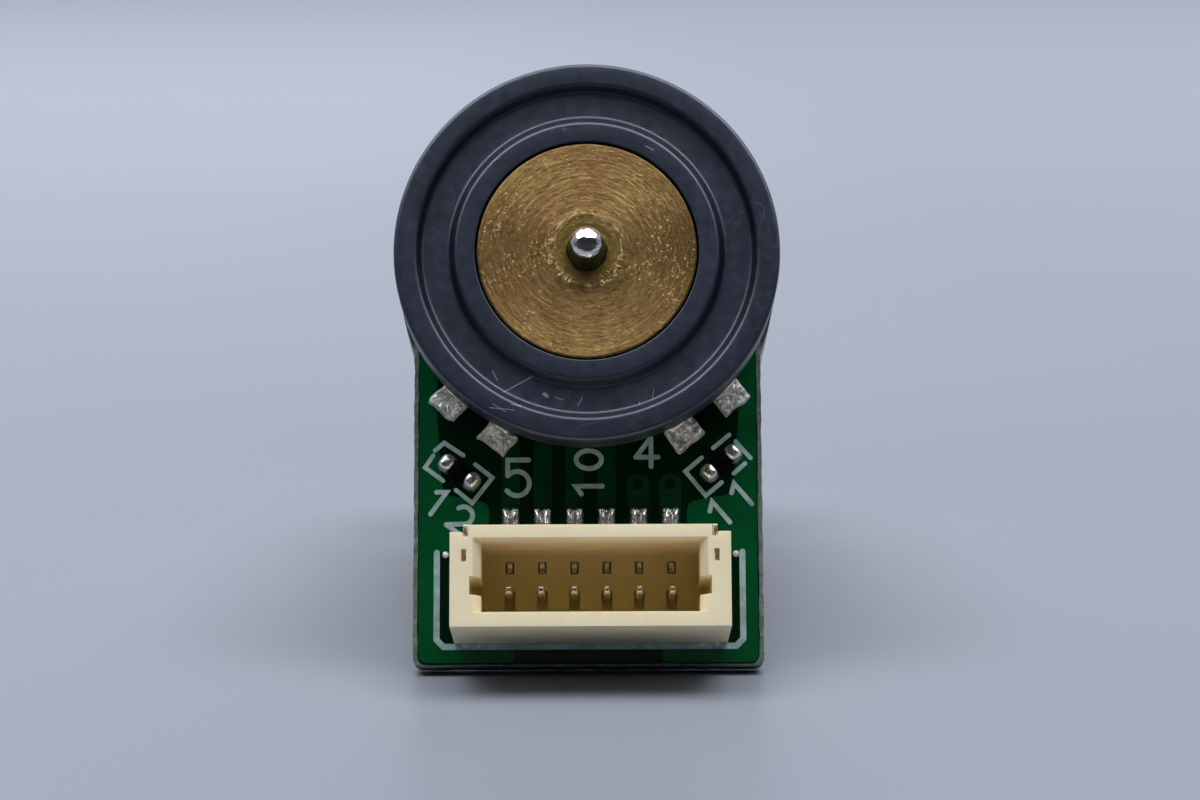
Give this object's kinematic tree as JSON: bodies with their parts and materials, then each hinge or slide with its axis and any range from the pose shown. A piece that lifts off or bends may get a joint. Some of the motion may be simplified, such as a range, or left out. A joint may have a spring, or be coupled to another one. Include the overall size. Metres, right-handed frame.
{
  "type": "encoder gearmotor",
  "caption": "Miniature brushed gearmotor with a D-shaped output shaft, a hanging encoder board with a plug socket, and a round magnet disc on its rear shaft.",
  "frame": {"origin": "centre of the output shaft's end face, on the axis that the motor and the output shaft share", "axes": "+Y along the output shaft, out of the gearbox; +Z away from the encoder board's hanging end, so the connector is at -Z; +X completes the right-handed frame; the magnet disc faces -Y"},
  "size_m": [0.012, 0.0386, 0.0186],
  "materials": {
    "bonded_ferrite": "moulded, satin, with fine handling scratches",
    "hub_brass": "turned, dull, with concentric tool marks",
    "gear_brass": "cut, satin",
    "plate_brass": "stamped, satin",
    "compound": "cured retaining compound",
    "polished_steel": "ground and polished",
    "can_steel": "nickel plated, satin",
    "core_steel": "stacked laminations",
    "tinned": "tin plated and soldered, uneven",
    "copper": "enamelled winding and rolled strip",
    "field_ferrite": "sintered ferrite, dull",
    "sintered_bronze": "sintered, oiled",
    "black_plastic": "moulded, satin",
    "carbon": "pressed carbon",
    "ivory_nylon": "moulded, satin",
    "solder_mask": "green solder mask over glass-epoxy laminate",
    "chip_ceramic": "fired, matt"
  },
  "bodies": {
    "frame": {"gearbox_front_plate": "plate_brass", "gearbox_rear_plate": "plate_brass", "output_bush": "sintered_bronze", "gearbox_screw_left": "polished_steel", "gearbox_screw_right": "polished_steel", "gearbox_spacer_left": "plate_brass", "gearbox_spacer_right": "plate_brass", "motor_screw_left": "polished_steel", "motor_screw_right": "polished_steel", "arbor_pin": "polished_steel", "arbor_collar": "plate_brass", "motor_can": "can_steel", "end_cap": "black_plastic", "front_bearing": "sintered_bronze", "rear_bearing": "sintered_bronze", "magnet_clip": "polished_steel", "field_magnet_left": "field_ferrite", "field_magnet_right": "field_ferrite", "motor_terminal_left": "tinned", "motor_terminal_right": "tinned", "carbon_brush_upper": "carbon", "carbon_brush_lower": "carbon", "brush_arm_upper": "copper", "brush_arm_lower": "copper", "encoder_board": "solder_mask", "hall_sensor_left": "black_plastic", "hall_sensor_right": "black_plastic", "resistor_left": "black_plastic", "resistor_right": "black_plastic", "capacitor": "chip_ceramic", "connector_housing": "ivory_nylon", "connector_contact_1": "tinned", "connector_contact_2": "tinned", "connector_contact_3": "tinned", "connector_contact_4": "tinned", "connector_contact_5": "tinned", "connector_contact_6": "tinned", "connector_nail_left": "tinned", "connector_nail_right": "tinned"},
    "rotor": {"magnet_ring": "bonded_ferrite", "magnet_hub": "hub_brass", "retaining_compound": "compound", "motor_shaft": "polished_steel", "motor_pinion": "gear_brass", "armature_core": "core_steel", "armature_coil_1": "copper", "armature_coil_2": "copper", "armature_coil_3": "copper", "commutator_segment_1": "copper", "commutator_segment_2": "copper", "commutator_segment_3": "copper", "commutator_sleeve": "black_plastic"},
    "first_cluster": {"gear_cluster_first": "gear_brass"},
    "second_cluster": {"gear_cluster_second": "gear_brass"},
    "third_cluster": {"gear_cluster_third": "gear_brass"},
    "output": {"output_shaft": "polished_steel", "output_gear": "gear_brass", "thrust_washer": "polished_steel"}
  },
  "joints": [
    {"name": "rotor_spin", "type": "hinge", "parent": "frame", "child": "rotor", "pos_m": [0, -0.034, 0], "axis": [0, 1, 0], "continuous": true},
    {"name": "first_cluster_spin", "type": "hinge", "parent": "frame", "child": "first_cluster", "pos_m": [0.00291, -0.016, 0.00155], "axis": [0, 1, 0], "continuous": true},
    {"name": "second_cluster_spin", "type": "hinge", "parent": "frame", "child": "second_cluster", "pos_m": [0, -0.0145, 0], "axis": [0, 1, 0], "continuous": true},
    {"name": "third_cluster_spin", "type": "hinge", "parent": "frame", "child": "third_cluster", "pos_m": [0.00291, -0.0135, 0.00155], "axis": [0, 1, 0], "continuous": true},
    {"name": "output_spin", "type": "hinge", "parent": "frame", "child": "output", "pos_m": [0, -0.009, 0], "axis": [0, 1, 0], "continuous": true}
  ],
  "couplings": [
    {"joint": "first_cluster_spin", "follows": "rotor_spin", "ratio": -0.375},
    {"joint": "second_cluster_spin", "follows": "rotor_spin", "ratio": 0.14062},
    {"joint": "third_cluster_spin", "follows": "rotor_spin", "ratio": -0.052734},
    {"joint": "output_spin", "follows": "rotor_spin", "ratio": 0.019775}
  ]
}
